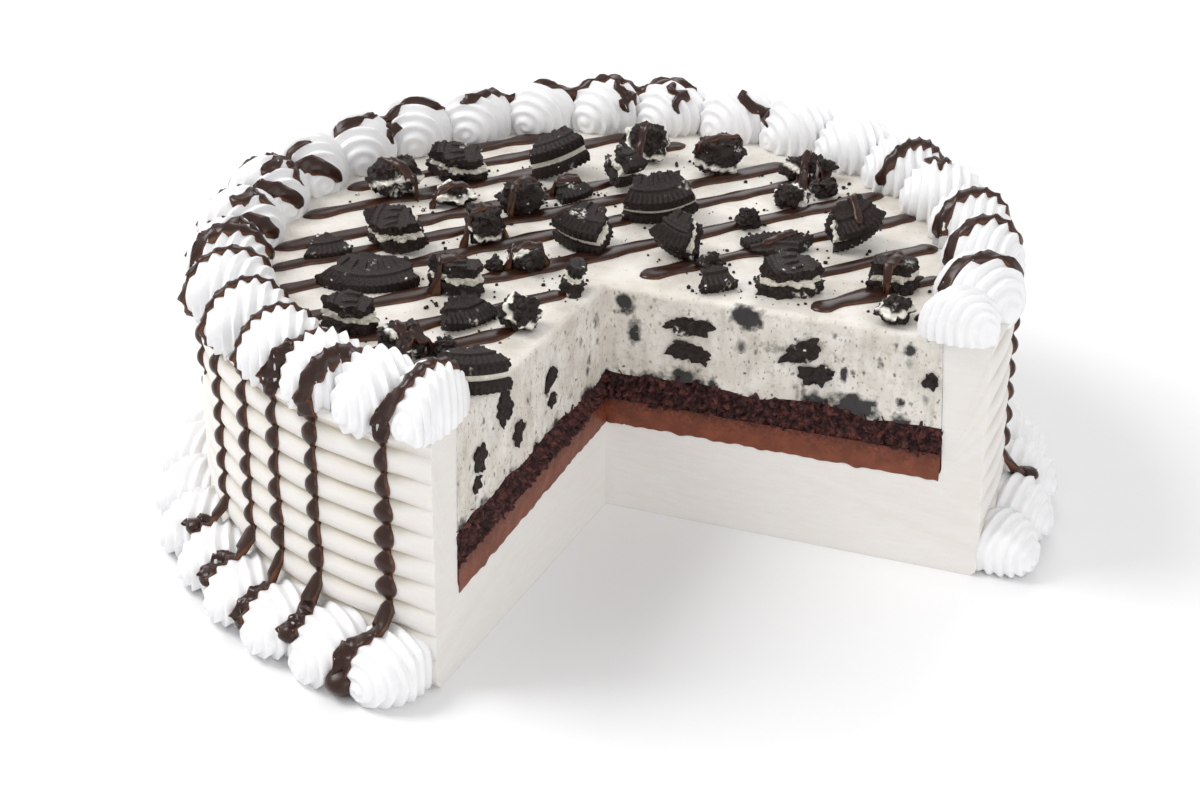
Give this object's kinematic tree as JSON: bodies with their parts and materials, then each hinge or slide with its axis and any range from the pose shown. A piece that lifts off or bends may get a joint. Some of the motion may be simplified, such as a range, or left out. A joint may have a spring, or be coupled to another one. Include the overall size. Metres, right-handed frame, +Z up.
{
  "type": "ice cream cake",
  "caption": "Round layered ice cream cake with a slice taken out, ribbed side, piped borders, broken sandwich cookies on top and dark sauce drizzled across.",
  "frame": {"origin": "middle of the round cake's flat underside", "axes": "+Z up; -Y towards the viewer, where the slice is missing; +X to the viewer's right"},
  "size_m": [0.2519, 0.2425, 0.0835],
  "materials": {
    "vanilla": "soft frozen cream",
    "fudge": "smooth and slightly moist",
    "crunch": "rough and crumbly",
    "speckled": "frozen cream with fine dark specks",
    "topping": "smooth whipped topping",
    "cookie": "dry and crumbly"
  },
  "bodies": {
    "root": {"vanilla_cup": "vanilla", "fudge_layer": "fudge", "cookie_crunch": "crunch", "cookies_and_cream": "speckled", "top_border": "topping", "foot_border": "topping", "cookie_01": "cookie", "cookie_02": "cookie", "cookie_03": "cookie", "cookie_04": "cookie", "cookie_05": "cookie", "cookie_06": "cookie", "cookie_07": "cookie", "cookie_08": "cookie", "cookie_09": "cookie", "cookie_10": "cookie", "cookie_11": "cookie", "cookie_12": "cookie", "cookie_13": "cookie", "cookie_14": "cookie", "cookie_15": "cookie", "cookie_16": "cookie", "cookie_17": "cookie", "cookie_18": "cookie", "cookie_19": "cookie", "cookie_20": "cookie", "cookie_21": "cookie", "cookie_22": "cookie", "cookie_23": "cookie", "cookie_24": "cookie", "cookie_25": "cookie", "cookie_26": "cookie", "cookie_27": "cookie", "cookie_28": "cookie", "cookie_29": "cookie", "cookie_30": "cookie", "cookie_31": "cookie", "cookie_32": "cookie", "cookie_33": "cookie", "cookie_34": "cookie", "cookie_35": "cookie", "cookie_36": "cookie", "cookie_37": "cookie", "chip_01": "cookie", "chip_02": "cookie", "chip_03": "cookie", "chip_04": "cookie", "chip_05": "cookie", "chip_06": "cookie", "chip_07": "cookie", "chip_08": "cookie", "chip_09": "cookie", "chip_10": "cookie", "chip_11": "cookie"}
  },
  "joints": []
}
